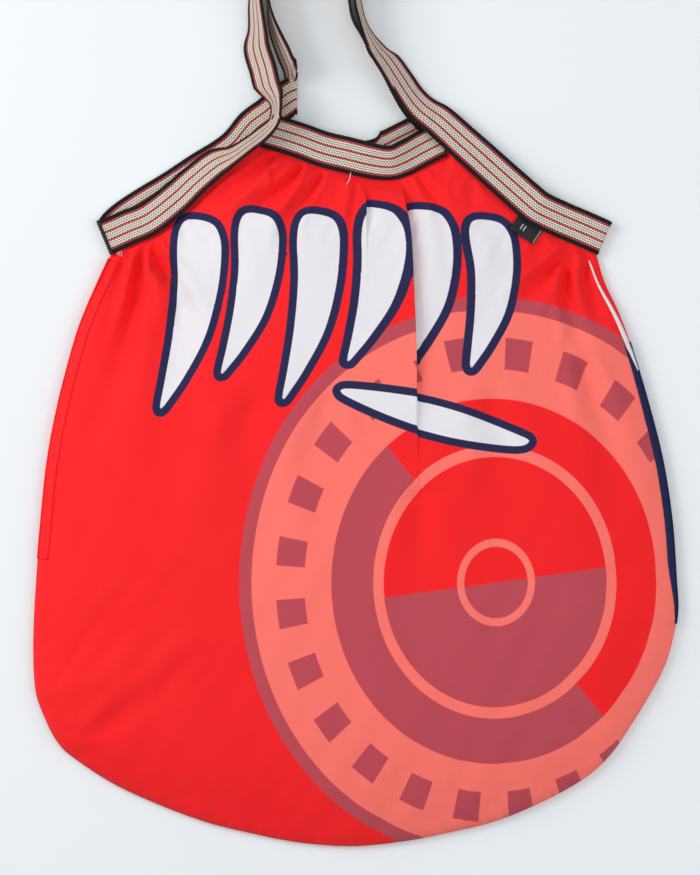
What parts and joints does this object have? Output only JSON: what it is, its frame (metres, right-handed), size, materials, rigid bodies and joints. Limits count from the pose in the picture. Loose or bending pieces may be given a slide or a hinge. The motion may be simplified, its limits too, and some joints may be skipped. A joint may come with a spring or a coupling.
{
  "type": "hockey jersey tote bag",
  "caption": "Soft round-bottomed tote bag of knit jersey fabric, its mouth and armholes bound with webbing that runs on as shoulder straps.",
  "frame": {"origin": "middle of the bounding box, on the surface that the bag lies on", "axes": "+Z out of the front face, +Y from the bottom of the bag toward its straps, +X to the right seen from the front"},
  "size_m": [0.4504, 0.7546, 0.036],
  "materials": {
    "jersey": "knit polyester, dyed red with a sublimated print",
    "side_stripe": "knit polyester, navy",
    "piping": "knit polyester, white",
    "webbing": "woven striped webbing with black selvedges",
    "binding": "black woven binding",
    "label": "black woven satin label"
  },
  "bodies": {
    "bag": {"front_panel": "jersey", "back_panel": "jersey", "left_side_insert": "jersey", "right_side_insert": "side_stripe", "right_piping": "piping", "bottom_seam_allowance": "jersey", "front_neck_band": "webbing", "back_neck_band": "webbing", "left_armhole_band": "webbing", "right_armhole_band": "webbing", "left_corner_join": "binding"},
    "left_strap_lower": {"left_strap_lower": "webbing"},
    "left_strap_loop": {"left_strap_loop": "webbing"},
    "right_strap_lower": {"right_strap_lower": "webbing"},
    "right_strap_loop": {"right_strap_loop": "webbing"},
    "label_tag": {"label_tag": "label"}
  },
  "joints": [
    {"name": "left_strap_lift", "type": "hinge", "parent": "bag", "child": "left_strap_lower", "pos_m": [-0.06292, 0.12876, 0.00548], "axis": [1, 0, 0], "range_deg": [0, 90]},
    {"name": "left_strap_swing", "type": "hinge", "parent": "left_strap_lower", "child": "left_strap_loop", "pos_m": [-0.06442, 0.21176, 0.0125], "axis": [0, 0, 1], "range_deg": [-8, 60]},
    {"name": "right_strap_lift", "type": "hinge", "parent": "bag", "child": "right_strap_lower", "pos_m": [0.05108, 0.12876, 0.00602], "axis": [1, 0, 0], "range_deg": [0, 90]},
    {"name": "right_strap_swing", "type": "hinge", "parent": "right_strap_lower", "child": "right_strap_loop", "pos_m": [-0.00292, 0.21176, 0.0125], "axis": [0, 0, 1], "range_deg": [-60, 8]},
    {"name": "label_tag_flip", "type": "hinge", "parent": "bag", "child": "label_tag", "pos_m": [0.12108, 0.05576, 0.01373], "axis": [-0.8281, 0.5605, 0.0082], "range_deg": [0, 90]}
  ]
}
